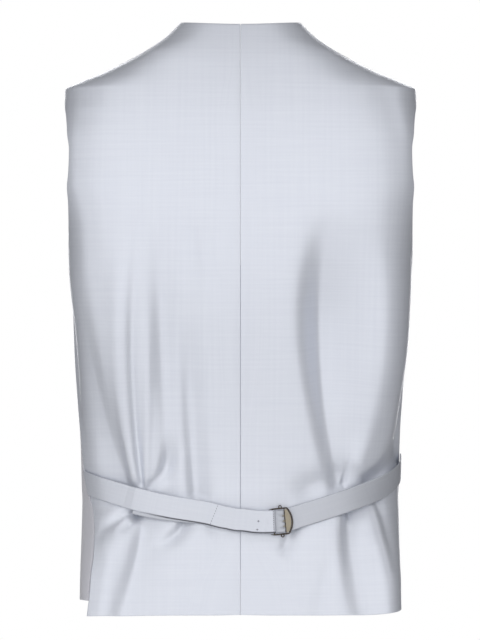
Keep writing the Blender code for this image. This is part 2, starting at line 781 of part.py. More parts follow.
def button(number, height, material):
    """A turned button with a raised rim, seated on the left front at the centre line."""
    seat = body(np.array(-math.pi / 2), np.array(height))
    out = Vector(body_normal(seat))
    shape = bmesh.new()
    radius, lift = column(BUTTON_PROFILE, "radius"), column(BUTTON_PROFILE, "out")
    profile = [shape.verts.new(Vector((r, 0, h)) * MM) for r, h in zip(radius, lift)]
    edges = [shape.edges.new(pair) for pair in zip(profile, profile[1:])]
    bmesh.ops.spin(
        shape,
        geom=profile + edges,
        axis=(0, 0, 1),
        cent=(0, 0, 0),
        steps=BUTTON_SIDES,
        angle=2 * math.pi,
    )
    bmesh.ops.remove_doubles(shape, verts=shape.verts, dist=1e-5)
    bmesh.ops.recalc_face_normals(shape, faces=shape.faces)
    mesh = bpy.data.meshes.new(f"button_{number}")
    shape.to_mesh(mesh)
    shape.free()
    made = object_of(f"button_{number}", mesh, material)
    made.matrix_world = Matrix.Translation(Vector(seat) * MM) @ out.to_track_quat(
        "Z", "Y"
    ).to_matrix().to_4x4()
    return made


def material_of(name, colour, roughness, metallic=0.0):
    made = bpy.data.materials.new(name)
    made.use_nodes = True
    shader = made.node_tree.nodes["Principled BSDF"]
    shader.inputs["Base Color"].default_value = (*colour, 1.0)
    shader.inputs["Roughness"].default_value = roughness
    shader.inputs["Metallic"].default_value = metallic
    made.diffuse_color = (*colour, 1.0)
    return made


def clear_scene():
    for old in list(bpy.data.objects):
        bpy.data.objects.remove(old, do_unlink=True)


def main():
    clear_scene()
    satin = material_of("silver satin", (0.66, 0.68, 0.75), 0.42)
    suiting = material_of("light grey suiting", (0.50, 0.50, 0.54), 0.85)
    bronze = material_of("dark bronze wire", (0.10, 0.09, 0.08), 0.35, 1.0)
    champagne = material_of("champagne metal", (0.62, 0.54, 0.38), 0.3, 1.0)
    horn = material_of("grey horn", (0.36, 0.36, 0.40), 0.35)
    for side in ("left", "right"):
        back_panel(side, satin)
        front_panel(side, suiting)
    left_strap(satin)
    right_strap(satin)
    buckle(bronze, champagne)
    for number, height in enumerate(BUTTON_HEIGHTS, 1):
        button(number, height, horn)


main()
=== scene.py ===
import math

import bpy
import numpy as np
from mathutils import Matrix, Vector


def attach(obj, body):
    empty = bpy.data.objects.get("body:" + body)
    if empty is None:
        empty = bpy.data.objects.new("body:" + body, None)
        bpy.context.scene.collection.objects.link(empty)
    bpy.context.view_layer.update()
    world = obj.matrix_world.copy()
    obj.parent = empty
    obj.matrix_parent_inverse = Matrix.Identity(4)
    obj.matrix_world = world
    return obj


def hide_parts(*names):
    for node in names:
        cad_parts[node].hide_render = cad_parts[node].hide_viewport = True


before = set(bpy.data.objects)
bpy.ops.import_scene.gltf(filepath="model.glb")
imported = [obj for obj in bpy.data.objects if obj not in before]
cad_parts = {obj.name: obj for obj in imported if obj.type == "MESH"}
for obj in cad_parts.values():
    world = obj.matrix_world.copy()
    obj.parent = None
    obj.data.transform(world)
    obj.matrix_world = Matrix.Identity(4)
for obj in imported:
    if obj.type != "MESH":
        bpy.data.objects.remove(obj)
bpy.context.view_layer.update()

mm = 0.001


def tableOf(names, *rows):
    # A table as one array for each named column
    return {name: np.array([row[at] for row in rows]) for at, name in enumerate(names)}


def rowsOf(table):
    # Each row of a table, its values by name
    return [dict(zip(table, row)) for row in zip(*(values.tolist() for values in table.values()))]


def along(table, name, at, by="height"):
    # A cubic through a table's rows that never overshoots them: a row's slope is the harmonic mean
    # of those beside it, or level where they change sign
    order = np.argsort(table[by])
    keys, values = table[by][order].astype(float), table[name][order].astype(float)
    step = np.diff(keys)
    slope = np.diff(values) / step
    before, after = slope[:-1], slope[1:]
    both = before * after > 0
    tangent = np.concatenate([slope[:1], np.zeros(len(keys) - 2), slope[-1:]])
    tangent[1:-1][both] = 2 * before[both] * after[both] / (before + after)[both]
    at = np.clip(np.asarray(at, float), keys[0], keys[-1])
    k = np.clip(np.searchsorted(keys, at) - 1, 0, len(keys) - 2)
    t = (at - keys[k]) / step[k]
    return (
        values[k] * (1 + 2 * t) * (1 - t) ** 2
        + step[k] * tangent[k] * t * (1 - t) ** 2
        + values[k + 1] * t * t * (3 - 2 * t)
        + step[k] * tangent[k + 1] * t * t * (t - 1)
    )


def smooth(value, low, high):
    # 0 below low, 1 above high, 3t^2 - 2t^3 between
    t = np.clip((value - low) / (high - low), 0, 1)
    return t * t * (3 - 2 * t)


# The torso form that every panel is laid on, in mm: a superellipse at each height
frontSquare = 2.45
form = tableOf(
    ("height", "halfWidth", "back", "front", "backSquare"),
    (12, 50, 50, 28, 3.6), (0, 60, 57.5, 36, 3.7), (-14, 73.8, 66.5, 46, 3.7),
    (-26, 90.3, 74, 54.5, 3.8), (-38, 110.9, 81, 62, 3.9), (-50, 135.3, 87, 68.5, 3.9),
    (-62, 163.1, 92.5, 75, 4.2), (-68, 173.1, 95.1, 78.3, 4.4), (-75, 173.2, 98, 82, 4.6),
    (-92, 174.9, 104, 90.5, 5), (-120, 179.1, 111, 101, 5.2), (-160, 179.6, 117.5, 113.5, 5.2),
    (-180, 175.2, 119.2, 118.1, 5.2), (-200, 171, 120, 122, 5.2),
    (-215, 169.6, 119.9, 124.6, 5.1), (-235, 168.9, 119.5, 127.5, 5),
    (-258, 168.2, 118, 129.5, 5), (-295, 166.2, 113.5, 129, 5), (-335, 164.2, 107, 126, 4.8),
    (-375, 161, 100.5, 122, 4.1), (-415, 158.6, 95.5, 118.5, 3.3), (-455, 157.8, 93, 115.5, 2.9),
    (-475, 157, 93, 114.5, 3.1), (-495, 157, 94.3, 114, 3.9), (-515, 156.8, 96.7, 114, 5.6),
    (-555, 156.8, 103, 115.5, 9.5), (-600, 157.5, 110, 118, 10.5), (-650, 158, 116, 121, 10.5),
)


def signedPower(value, power):
    # sign(v) |v|^n
    return np.sign(value) * np.abs(value) ** power


def depthAt(z, behind):
    # The form's depth d at a height, behind its widest line or before it
    return np.where(behind, along(form, "back", z), along(form, "front", z))


def powerAt(z, behind):
    # The form's power n at a height, likewise
    return np.where(behind, along(form, "backSquare", z), frontSquare)


def onForm(angle, z):
    # x = halfWidth cos^(2/n), y = depth sin^(2/n): 90 degrees is the centre back, 0 the side
    angle, z = np.broadcast_arrays(np.asarray(angle, float), np.asarray(z, float))
    across, behind = np.cos(angle), np.sin(angle)
    power = 2 / powerAt(z, behind >= 0)
    x = along(form, "halfWidth", z) * signedPower(across, power)
    y = depthAt(z, behind >= 0) * signedPower(behind, power)
    return np.stack([x, y, z], axis=-1)


def fullness(x, y, z):
    # |x/w|^n + |y/d|^n, which is 1 on the form
    width = np.abs(x / along(form, "halfWidth", z))
    depth = np.abs(y / depthAt(z, y >= 0))
    power = powerAt(z, y >= 0)
    return width**power + depth**power


def formNormal(point):
    # The gradient of |x/w|^n + |y/d|^n, made one long
    x, y, z = point[..., 0], point[..., 1], point[..., 2]
    width, depth = along(form, "halfWidth", z), depthAt(z, y >= 0)
    power, rise = powerAt(z, y >= 0), 0.5
    across, behind = (
        power * signedPower(v / w, power - 1) / w for v, w in ((x, width), (y, depth))
    )
    upward = (fullness(x, y, z + rise) - fullness(x, y, z - rise)) / (2 * rise)
    return unit(np.stack([across, behind, upward], axis=-1))


def unit(vector):
    # v / |v|
    return vector / np.maximum(np.linalg.norm(vector, axis=-1, keepdims=True), 1e-12)


def angleAcross(x, z, facing):
    # acos (x/w)^(n/2), facing 1 on the back and -1 on the front
    share = signedPower(x / along(form, "halfWidth", z), powerAt(z, facing > 0) / 2)
    return facing * np.arccos(np.clip(share, -1, 1))


def angleBehind(y, z):
    # asin (y/d)^(n/2)
    share = signedPower(y / depthAt(z, y >= 0), powerAt(z, y >= 0) / 2)
    return np.arcsin(np.clip(share, -1, 1))


def walked(line):
    # Distance covered along each row of points
    steps = np.linalg.norm(np.diff(line, axis=-2), axis=-1)
    return np.concatenate([np.zeros((*steps.shape[:-1], 1)), np.cumsum(steps, axis=-1)], axis=-1)


creaseShape = {
    "round": 0.8,  # how far the bottom of a crease is rounded, in mm
    "reach": 3.2,  # how many of its widths away it ends
    "points": 49,  # along its path
}


def foldDepth(x, z, folds):
    # Sum of troughs along parabolas through three points. Across each the depth falls as
    # exp(-(s / width)^power), its widths left and right differ, and power 1 makes a sharp crease
    total = np.zeros(np.shape(x))
    t = np.linspace(0, 1, creaseShape["points"])[:, None]
    for fold in rowsOf(folds):
        start, middle, end = (np.array([fold["x" + n], fold["z" + n]], float) for n in "012")
        steer = 2 * middle - (start + end) / 2
        line = start * (1 - t) ** 2 + steer * 2 * t * (1 - t) + end * t * t
        widest = max(fold["left0"], fold["right0"], fold["left1"], fold["right1"])
        reach = creaseShape["reach"] * widest
        near = (x > line[:, 0].min() - reach) & (x < line[:, 0].max() + reach)
        near &= (z > line[:, 1].min() - reach) & (z < line[:, 1].max() + reach)
        if not near.any():
            continue
        first, span = line[:-1], np.diff(line, axis=0)
        offX, offZ = x[near][:, None] - first[:, 0], z[near][:, None] - first[:, 1]
        share = (offX * span[:, 0] + offZ * span[:, 1]) / (span**2).sum(axis=1)
        share = np.clip(share, 0, 1)
        offX, offZ = offX - share * span[:, 0], offZ - share * span[:, 1]
        away = np.hypot(offX, offZ)
        best = away.argmin(axis=1)
        pick = np.arange(len(best))
        run = (best + share[pick, best]) / len(first)
        turned = span[best, 0] * offZ[pick, best] - span[best, 1] * offX[pick, best]
        span = np.hypot(span[best, 0], span[best, 1])
        side = 0.5 + 0.5 * turned / np.maximum(away[pick, best] * span, 1e-9)
        left = fold["left0"] + (fold["left1"] - fold["left0"]) * run
        right = fold["right0"] + (fold["right1"] - fold["right0"]) * run
        top, half, foot = (fold["deep" + n] for n in "012")
        deep = top + (half - top) * smooth(run, 0, 0.5) + (foot - half) * smooth(run, 0.5, 1)
        off = np.hypot(away[pick, best], creaseShape["round"]) - creaseShape["round"]
        total[near] += deep * np.exp(-((off / (right + (left - right) * side)) ** fold["power"]))
    return total


# Shader nodes


class Wire:
    # A node socket that can be used in sums; tree is the node tree it is in
    def __init__(self, tree, socket):
        self.tree, self.socket = tree, socket

    def math(self, operation, *values):
        sockets = dict(enumerate(values))
        return addNode(self.tree, "ShaderNodeMath", {"operation": operation}, sockets)

    def __add__(self, other):
        return self.math("ADD", self, other)

    def __sub__(self, other):
        return self.math("SUBTRACT", self, other)

    def __rsub__(self, other):
        return self.math("SUBTRACT", other, self)

    def __mul__(self, other):
        return self.math("MULTIPLY", self, other)

    __radd__, __rmul__ = __add__, __mul__

    def sine(self):
        return self.math("SINE", self)

    def clamped(self):
        return self.math("MAXIMUM", self.math("MINIMUM", self, 1.0), 0.0)


def addNode(tree, kind, settings=None, inputs=None, output=0):
    # One node: its settings first, then a value or a wire for each of its sockets
    node = tree.nodes.new(kind)
    for name, value in (settings or {}).items():
        setattr(node, name, value)
    for name, value in (inputs or {}).items():
        if isinstance(value, Wire):
            tree.links.new(value.socket, node.inputs[name])
        else:
            node.inputs[name].default_value = value
    return Wire(tree, node.outputs[output])


def newMaterial(name, **fixed):
    # A material with a Principled shader, its constants set on its own sockets
    material = bpy.data.materials.new(name)
    material.use_nodes = True
    tree = material.node_tree
    shader = tree.nodes["Principled BSDF"]
    for socket, value in fixed.items():
        shader.inputs[socket.replace("_", " ")].default_value = value
    return material, tree, shader


def feed(shader, **wires):
    # Each wire to the shader's socket of its name
    for socket, wire in wires.items():
        wire.tree.links.new(wire.socket, shader.inputs[socket.replace("_", " ")])


def mixColour(factor, first, second):
    # first + (second - first) factor, where each colour is a wire or three numbers
    first, second = ((*c, 1) if isinstance(c, tuple) else c for c in (first, second))
    sockets = {"Factor": factor, 6: first, 7: second}
    return addNode(factor.tree, "ShaderNodeMix", {"data_type": "RGBA"}, sockets, 2)


def clothPlace(tree):
    # The cloth's own coordinates in metres: u round the garment, v up it, or down a strap
    place = addNode(tree, "ShaderNodeUVMap", {"uv_map": "cloth"})
    split = tree.nodes.new("ShaderNodeSeparateXYZ")
    tree.links.new(place.socket, split.inputs[0])
    return place, Wire(tree, split.outputs[0]), Wire(tree, split.outputs[1])


def ownPlace(tree):
    # Object coordinates, for what has no cloth map
    return addNode(tree, "ShaderNodeTexCoord", None, None, 3)


def noiseOf(place, scale, detail=2.0, roughness=0.5, distortion=0.0):
    # Noise from 0 to 1, its scale in grains per metre
    sockets = {"Vector": place, "Scale": scale, "Detail": detail, "Roughness": roughness}
    return addNode(place.tree, "ShaderNodeTexNoise", None, {**sockets, "Distortion": distortion})


def stretched(place, across, up, detail=2.0, roughness=0.5):
    # Noise with its own grain along each thread direction, in grains per metre
    sockets = {0: place, 1: (across, up, 1.0)}
    scaled = addNode(place.tree, "ShaderNodeVectorMath", {"operation": "MULTIPLY"}, sockets)
    return noiseOf(scaled, 1.0, detail, roughness)


def bumpOf(height, strength, depth):
    # The slope of a height from 0 to 1 that stands for a depth in metres
    sockets = {"Strength": strength, "Distance": depth, "Height": height}
    return addNode(height.tree, "ShaderNodeBump", None, sockets)


satinLook = {
    "light": (0.70, 0.725, 0.79),
    "dark": (0.62, 0.645, 0.72),
    "roughness": 0.5,
    "metallic": 0.4,
    "yarn": 0.00034,  # pitch of the satin's weft, metres
    # the near-black of the painted shadow under a strap's lower edge
    "seam": (0.06, 0.06, 0.08),
    "shadowBelow": 0.0094,  # painted shadow along a strap's lower edge, where its plies part
    "shadowPast": 0.075,  # and from how far along it
}


def satinMaterial(name, look=satinLook, tint=1.0, rim=0.0):
    # dark + (light - dark) mask, where the mask adds up uneven threads. Its bump adds the wefts,
    # sin(2 pi v / yarn), to the slubs
    material, tree, shader = newMaterial(
        name, Metallic=look["metallic"], Anisotropic=0.6, Anisotropic_Rotation=0.25
    )
    place, u, v = clothPlace(tree)
    slub = stretched(place, 35, 1300)  # thick places in the weft, long and thin
    warp = stretched(place, 1100, 18)
    bars = stretched(place, 11, 420, 3.0)  # uneven wefts and warps seen from afar
    stripes = stretched(place, 330, 8, 3.0)
    cloud = stretched(place, 14, 9, 1.0)
    mask = 0.2 * slub + 0.1 * warp + 1.0 * bars + 0.75 * stripes + 0.25 * cloud - 0.65
    tinted = [tuple(tint * c for c in look[k]) for k in ("dark", "light")]
    colour = mixColour(mask, *tinted)
    # With rim, a strap's lower edge, from a set distance along it, gets a painted shadow
    if rim:
        low = ((v - look["shadowBelow"]) * 1400.0).clamped()
        far = ((u - look["shadowPast"]) * 40.0).clamped()
        colour = mixColour(low * far * rim, colour, look["seam"])
    threads = (v * (2 * math.pi / look["yarn"])).sine() * 0.5
    bump = bumpOf(threads * 0.35 + slub * 0.9 + warp * 0.5, 0.35, 0.00005)
    rough = look["roughness"] - 0.05 + mask * 0.1
    feed(shader, Base_Color=colour, Roughness=rough, Normal=bump)
    return material


suitingLook = {
    "light": (0.61, 0.61, 0.655),
    "dark": (0.355, 0.355, 0.40),
    "twill": 0.0011,  # pitch of its diagonal, metres
}


def suitingMaterial(name, look=suitingLook):
    # Melange: flecks along both threads mix two greys. Its bump adds the twill,
    # sin(2 pi (u + v) / twill)
    material, tree, shader = newMaterial(name, Sheen_Weight=0.25, Sheen_Roughness=0.6)
    place, u, v = clothPlace(tree)
    fleck = stretched(place, 900, 2600, 3.0, 0.7)
    cross = stretched(place, 2400, 700, 3.0, 0.7)
    mask = ((fleck * 0.55 + cross * 0.45) - 0.32) * 2.6
    colour = mixColour(mask.clamped(), look["dark"], look["light"])
    twill = ((u + v) * (2 * math.pi / look["twill"])).sine()
    bump = bumpOf(twill * 0.4 + fleck, 0.5, 0.0001)
    feed(shader, Base_Color=colour, Roughness=0.78 + fleck * 0.15, Normal=bump)
    return material


def metalMaterial(name, colour, roughness, worn):
    # colour + 0.8 patch (worn - colour), made rough and uneven by a finer noise
    material, tree, shader = newMaterial(name, Metallic=1.0)
    place = ownPlace(tree)
    brushed, patch = noiseOf(place, 900.0, 4.0), noiseOf(place, 160.0)
    mixed, rough = mixColour(patch * 0.8, colour, worn), roughness + brushed * 0.15
    feed(shader, Base_Color=mixed, Roughness=rough, Normal=bumpOf(brushed, 0.12, 0.0001))
    return material


def hornMaterial(name):
    # A swirled noise runs from dark horn to light as 2.2 (swirl - 0.3)
    material, tree, shader = newMaterial(name, Coat_Weight=0.5, Coat_Roughness=0.15)
    swirl = noiseOf(ownPlace(tree), 170.0, 3.0, distortion=1.6)
    colour = mixColour((swirl - 0.3) * 2.2, (0.16, 0.16, 0.19), (0.42, 0.42, 0.46))
    feed(shader, Base_Color=colour, Roughness=0.25 + swirl * 0.15)
    return material


def threadMaterial(name, colour):
    # A fine noise darkens the colour to 0.7 of itself between the thread's plies
    material, tree, shader = newMaterial(name, Sheen_Weight=0.2)
    ply = noiseOf(ownPlace(tree), 2500.0)
    darker = tuple(0.7 * c for c in colour)
    feed(shader, Base_Color=mixColour(ply, darker, colour), Roughness=0.5 + ply * 0.3)
    return material


# Mesh makers


def newObject(name, data):
    made = bpy.data.objects.new(name, data)
    bpy.context.scene.collection.objects.link(made)
    return made


def meshOf(name, points, quads, uv=None, slots=None):
    # A mesh object at the origin from points in mm, with a cloth map in metres
    mesh = bpy.data.meshes.new(name)
    mesh.from_pydata((points * mm).tolist(), [], quads)
    if uv is not None:
        layer = mesh.uv_layers.new(name="cloth")
        corner = np.empty(len(mesh.loops), int)
        mesh.loops.foreach_get("vertex_index", corner)
        layer.data.foreach_set("uv", (uv[corner] * mm).ravel())
    if slots is not None:
        mesh.polygons.foreach_set("material_index", np.asarray(slots, int))
    mesh.update()
    mesh.shade_smooth()
    return newObject(name, mesh)


def finishPiece(piece, materials, slot, *nodes):
    # A piece's materials, body and the nodes that it replaces. Its slot is not used
    for material in materials:
        piece.data.materials.append(material)
    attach(piece, "root")
    if nodes:
        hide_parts(*nodes)
    return piece


def gridQuads(rows, columns, start, flip):
    # Quads of the points (i, j), (i, j + 1), (i + 1, j + 1), (i + 1, j)
    at = start + np.arange(rows * columns).reshape(rows, columns)
    quads = np.stack([at[:-1, :-1], at[:-1, 1:], at[1:, 1:], at[1:, :-1]], axis=-1).reshape(-1, 4)
    return quads[:, ::-1] if flip else quads


rimTurn = (60, 30, 0, -30, -60)  # degrees, the points round a cloth's edge


def clothShell(name, outer, inner, uv, flip):
    # A closed shell from an outer and an inner grid, with a half circle round its border:
    # middle + half (T cos a + N sin a), T pointing off the cloth's edge
    rows, columns = outer.shape[:2]
    count = rows * columns
    quads = [gridQuads(rows, columns, 0, flip), gridQuads(rows, columns, count, not flip)]
    slots = [np.zeros(len(quads[0])), np.ones(len(quads[1]))]
    at = np.arange(count).reshape(rows, columns)
    edge = np.concatenate([at[0], at[1:, -1], at[-1, -2::-1], at[-2:0:-1, 0]])
    loop = np.stack(np.divmod(edge, columns), axis=1)
    inside = np.clip(loop, 1, [rows - 2, columns - 2])
    top, under = outer.reshape(-1, 3)[edge], inner.reshape(-1, 3)[edge]
    normal = unit(top - under)
    off = top - outer[inside[:, 0], inside[:, 1]]
    off = unit(off - normal * (off * normal).sum(axis=1, keepdims=True))
    half = np.linalg.norm(top - under, axis=1, keepdims=True) / 2
    middle = (top + under) / 2
    turned = np.radians(rimTurn)
    rim = [middle + half * (off * math.cos(a) + normal * math.sin(a)) for a in turned]
    size = len(edge)
    rings = [edge] + [2 * count + size * k + np.arange(size) for k in range(len(turned))]
    rings.append(edge + count)
    for first, second in zip(rings, rings[1:]):
        strip = np.stack([first, np.roll(first, -1), np.roll(second, -1), second], axis=1)
        quads.append(strip if flip else strip[:, ::-1])
        slots.append(np.zeros(size))
    flatUv = uv.reshape(-1, 2)
    points = np.concatenate([outer.reshape(-1, 3), inner.reshape(-1, 3), *rim])
    uvs = np.concatenate([flatUv, flatUv] + [flatUv[edge]] * len(turned))
    return meshOf(name, points, np.concatenate(quads).tolist(), uvs, np.concatenate(slots))


def ringFaces(rings, start=0, closed=False):
    # Quads from each ring of points to the next, capped at both ends unless it closes on itself
    count, sides = rings.shape[:2]
    at = start + np.arange(count * sides).reshape(count, sides)
    following = np.roll(at, -1, axis=0) if closed else at[1:]
    here = at if closed else at[:-1]
    beside = (np.roll(points, -1, axis=1) for points in (here, following))
    faces = np.stack([here, *beside, following], axis=-1).reshape(-1, 4).tolist()
    if not closed:
        faces += [at[0, ::-1].tolist(), at[-1].tolist()]
    return faces


def tubeRings(line, radius, sides, closed=False, level=(0, 0, 1)):
    # p + r (A cos a + B sin a) round a line, where A is level x direction and B direction x A
    around = np.roll(line, -1, axis=0) - np.roll(line, 1, axis=0)
    run = unit(around if closed else np.gradient(line, axis=0))
    across = unit(np.cross(level, run))
    over = np.cross(run, across)
    turn = np.arange(sides) * 2 * math.pi / sides
    size = np.broadcast_to(np.asarray(radius, float), len(line))[:, None, None]
    ring = across[:, None] * np.cos(turn)[:, None] + over[:, None] * np.sin(turn)[:, None]
    return line[:, None] + ring * size


def tubesOf(name, tubes):
    # One mesh of several tubes, each given as (rings, closed)
    points, faces, start = [], [], 0
    for rings, closed in tubes:
        points.append(rings.reshape(-1, 3))
        faces += ringFaces(rings, start, closed)
        start += rings.shape[0] * rings.shape[1]
    return meshOf(name, np.concatenate(points), faces)


# Panels


clothThick = {"back": 1.1, "front": 1.7}

armhole = tableOf(  # how far its edge lies from the widest line, behind it and in front of it
    ("height", "back", "front"),
    (-67, 0, 0), (-68, 9, 8), (-71, 22, 17), (-76, 37, 27), (-83, 53, 37), (-94, 70, 48),
    (-110, 83, 59), (-130, 91, 67), (-155, 93.5, 73), (-180, 89, 74), (-200, 79, 70),
    (-215, 69, 63), (-229, 57, 53), (-240, 45, 42), (-249, 32, 30), (-254, 21, 20), (-257, 10, 10),
    (-258, 0, 0),
)
frontEdge = tableOf(
    ("height", "across"),
    (0, 60), (-30, 56), (-80, 46.5), (-140, 32), (-200, 14), (-250, -5), (-272, -13), (-290, -14),
    (-515, -14), (-535, -10), (-560, 6), (-585, 24), (-599, 33),
)
sideSeam = {
    "left": tableOf(
        ("height", "behind"),
        (-258, 0), (-330, 14), (-400, 32), (-445, 39), (-457, 44), (-468, 51.5), (-485, 63.5),
        (-495, 70.6), (-515, 83), (-530, 89.4), (-555, 95.9), (-585, 99.4),
    ),
    "right": tableOf(
        ("height", "behind"),
        (-258, 0), (-330, 0), (-400, 0), (-455, 1), (-520, 2), (-585, 3),
    ),
}

panels = {
    "backHem": -578,
    "backHemSide": {"left": -579.5, "right": -574.5},
    "frontHemSide": -565,
    "hemBend": 1.2,  # how much sooner the front's hem runs level at the side
    "shoulderTip": -67, "underarm": -258,
    "seamGap": 0.1, "ventGap": -0.4,  # below 0 the vent is closed, and its edges touch
    "ventTop": -462, "ventOpen": -480,
    "fade": 16, "fadeAcross": 0.4,  # creases die out this near a side seam
    "backColumns": 150, "frontColumns": 110,
    "sweep": 241,  # points that measure each row's length
}
# Where the right front passes under the left one
lap = {"across": (28, 42), "height": (-235, -205), "sunk": 2.6}

# The rows climb from the hem in stretches up to these heights
panelRows = tableOf(
    ("back", "front", "edge", "rows"),
    (-505, -505, -468, 46), (-462, -462, -415, 30), (-395, -395, -355, 36),
    (-258, -258, -258, 50), (-67, -67, -67, 90), (-5, 0, 0, 34),
)

# Creases, in mm to the wearer's left and up. One with negative depths stands out
foldColumns = (
    "name", "x0", "z0", "x1", "z1", "x2", "z2", "left0", "left1", "right0", "right1",
    "deep0", "deep1", "deep2", "power",
)
backFolds = tableOf(
    foldColumns,
    ("left bulge", 108, -194, 117, -314, 103.5, -447, 14, 5, 14, 5, 0, -4, -4, 2),
    ("left flank", 160, -239.5, 147.5, -348, 115, -451.5, 20, 18, 15, 11, 0, 6.5, 5.5, 2),
    ("left groove", 97.5, -194, 104.5, -324, 96, -452.5, 4.5, 2.5, 5.5, 2.5, 0.8, 2.3, 3, 1.5),
    ("left pleat", 90, -256.5, 90, -362.5, 92, -452.5, 5, 3, 5, 3, 0, -1.5, -2, 2),
    ("left inner", 79.5, -175, 74.5, -319, 68, -460, 10, 9, 16, 12, 0.4, 6.8, 3, 1.8),
    ("left tuck", 69.5, -400.5, 72.5, -434.5, 88, -453.5, 7, 3, 10, 5, 0, 5, 2.5, 2),
    ("left middle", 51.5, -266, 48.5, -372, 43, -460, 9, 8.5, 14, 12, 0, 7, 8, 1.8),
    ("left veil", 41, -184.5, 33, -237.5, 20.5, -300, 7, 7, 8, 8, 0.3, 1.6, 0, 2),
    ("right blade", -95, -170, -78.5, -304.5, -97.5, -450.5, 20, 10, 60, 34, 0, 23, 7, 2),
    ("right bulge", -140, -213.5, -144, -309.5, -117, -431.5, 24, 8, 26, 8, 0, -3, -3, 2),
    ("right flank", -176.5, -304.5, -169, -396, -130.5, -450.5, 20, 8, 14, 7, 0, 7, 7, 2),
    ("right fan", -107.5, -422, -106.5, -437, -103.5, -453.5, 2.5, 2, 2.5, 2, 0, 1, 2, 2),
    ("right eave", -45.5, -470, -69, -457.5, -95.5, -447, 18, 14, 16, 10, 2, 6, 4, 2),
    ("left skirt", 97.5, -477.5, 98.5, -516, 114, -575.5, 6.5, 12, 22, 26, 7, 8.5, 6.5, 1.55),
    ("left swell", 123.5, -492, 129.5, -525.5, 133, -573.5, 12, 12, 12, 12, -1, -2, -2, 2),
    ("left eave", 101.5, -477.5, 119, -486, 137, -501.5, 3, 5, 4, 6, 5, 4, 1, 1.5),
    ("left drape", 100.5, -480.5, 109, -491, 123.5, -500.5, 3, 4.5, 3.5, 5, 3.5, 3.8, 0, 1.5),
    ("left tack", 101.5, -473.5, 103.5, -479.5, 109, -488, 3, 3.5, 2, 3, 6, 6, 0.5, 1.4),
    ("left drag", 54.5, -486, 63, -500.5, 85, -513, 4, 5, 8, 8, 7, 5.5, 0.6, 1.5),
    ("left wisp", 27.5, -494, 18, -511, 9, -527.5, 6, 8, 6, 8, 1.2, 0.8, 0, 2),
    ("right drag", -50.5, -493, -44.5, -510, -38, -525.5, 5, 6, 9, 9, 4, 3.8, 0, 1.6),
    ("right skirt", -110, -474.5, -110, -519, -121.5, -575.5, 8, 14, 18, 20, 6.5, 8.5, 5, 2.4),
    ("right vane", -91, -506.5, -83, -540, -76.5, -575.5, 7, 8, 8, 9, 0, 1.2, 1.4, 1.8),
    ("right tack", -109, -471, -107.5, -478.5, -103.5, -491, 3, 2.5, 3, 3, 3, 4, 0.5, 1.4),
    ("right wing", -134, -466, -143, -496.5, -150.5, -533, 4, 4, 9, 5, 3.5, 3, 1, 1.5),
)
frontFolds = tableOf(
    foldColumns,
    ("button drag", 22, -300, 62, -315, 112, -348, 7, 13, 7, 13, 2.5, 1.8, 0.8, 2),
    ("waist drag", 20, -452, 60, -448, 118, -436, 7, 12, 7, 12, 2.2, 1.6, 0.8, 2),
    ("armhole drape", 112, -205, 102, -262, 98, -330, 10, 14, 10, 14, 2.5, 1.8, 0.8, 2),
    ("hip drape", 96, -480, 100, -520, 106, -566, 9, 14, 9, 14, 1, 2, 3, 2),
)

# The cinch's middle line, its distance round the form measured to the wearer's left
strapLine = tableOf(
    ("girth", "height"),
    (-230, -434), (-200, -440), (-172, -447.5), (-140, -458), (-100, -470.5), (-57, -483.5),
    (-39, -488.5), (-22, -489), (16, -484.5), (32, -480.5), (69, -474.5), (106, -466.5),
    (133, -460), (172, -452.5), (200, -448),
)

cinch = {
    "width": 22, "ply": 1.2, "lift": 0.25,
    "press": 0.9, "pressRun": 0.8,  # how deep it presses the cloth, and how far, in widths
    "seamAt": {"left": -452, "right": -438}, "seamInset": {"left": 4, "right": 1},
    "tailEnd": 104, "tailFrom": 15, "tailDrop": 4,
    "foldEnd": 26, "foldFrom": 4,
    "ramp": 8,  # the run in which one ply rises over the end of another
    "climb": (9, 6, 3), "climbLift": 0.8, "climbShort": 0.3,  # how it rises onto the bar
    "teethRows": (-9, 8),  # rows lie closer this near the buckle's middle
    "gap": 0.3, "plyGap": 0.4,
    "lean": 8, "leanRun": 24,  # how much shorter the left strap's lower edge is at the seam
    "section": 29,  # points across one face
    "sweep": 161, "sweepEnd": 100,  # points and degrees that measure a distance round the form
    "step": 4,
}


def strapHeight(girth):
    # The cinch's middle line at a distance round the form
    return along(strapLine, "height", girth, by="girth")


def rowHeights(name, hem):
    # start + (end - start) t in each stretch. Beside the armhole t is (1 - cos(pi t)) / 2
    values, start = [[hem]], hem
    for end, count in zip(panelRows[name], panelRows["rows"]):
        t = np.arange(1, count + 1) / count
        if name == "edge" and start == panels["underarm"]:
            t = (1 - np.cos(math.pi * t)) / 2
        values.append(start + (end - start) * t)
        start = end
    return np.concatenate(values)


def laidGrid(centreX, centreZ, edgeY, edgeZ, facing, columns, bend=0):
    # Rows of evenly spaced points from the centre edge to the side edge, and their distance round
    # the form. A row's height changes with t + bend t (1 - t)
    first, last = angleAcross(centreX, centreZ, facing), angleBehind(edgeY, edgeZ)
    fine = np.linspace(0, 1, panels["sweep"])

    def rowsAt(t):
        angle = first[:, None] + (last - first)[:, None] * t
        rise = t + np.reshape(bend, (-1, 1)) * t * (1 - t)
        return onForm(angle, centreZ[:, None] + (edgeZ - centreZ)[:, None] * rise)

    girth = walked(rowsAt(fine))
    even = girth[:, -1:] * np.linspace(0, 1, columns + 1)
    t = np.stack([np.interp(want, have, fine) for want, have in zip(even, girth)])
    return rowsAt(t), even


def seamFade(points, edgeY):
    # 0 at the side edge, 1 past a fade of |y - edge| + 0.4 |x - edge|
    behind = np.abs(points[..., 1] - edgeY[:, None])
    across = np.abs(points[..., 0] - points[:, -1:, 0])
    return smooth(behind + panels["fadeAcross"] * across, 0, panels["fade"])


